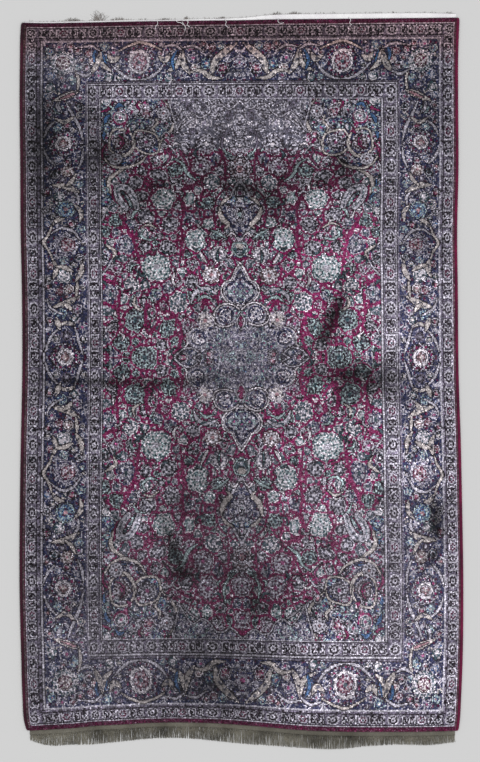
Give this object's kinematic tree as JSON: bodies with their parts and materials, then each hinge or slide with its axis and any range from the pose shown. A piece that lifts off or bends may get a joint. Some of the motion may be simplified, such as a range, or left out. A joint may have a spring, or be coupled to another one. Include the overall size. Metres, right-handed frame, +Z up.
{
  "type": "persian rug",
  "caption": "Flat hand-knotted rug with overcast sides, woven ends and a warp fringe, laid out pile side up.",
  "frame": {"origin": "middle of the whole rug, fringes included, on the floor that it lies on", "axes": "+Z up out of the pile, +X across the rug towards its right side, +Y along the rug towards its plain worn end"},
  "size_m": [1.3743, 2.289, 0.007],
  "materials": {
    "pile": "short clipped wool and silk knots in a patterned crimson, navy and ivory design",
    "overcast": "dark crimson wool wrapped round the edge cords",
    "web_bleached": "plain woven bleached cotton",
    "web_undyed": "plain woven grey-brown cotton",
    "warp": "loose twisted cotton warp threads"
  },
  "bodies": {
    "root": {"knotted_cloth": "pile", "overcast_left": "overcast", "overcast_right": "overcast", "woven_end_top": "web_bleached", "woven_end_bottom": "web_undyed", "fringe_top": "warp", "fringe_bottom": "warp"}
  },
  "joints": []
}
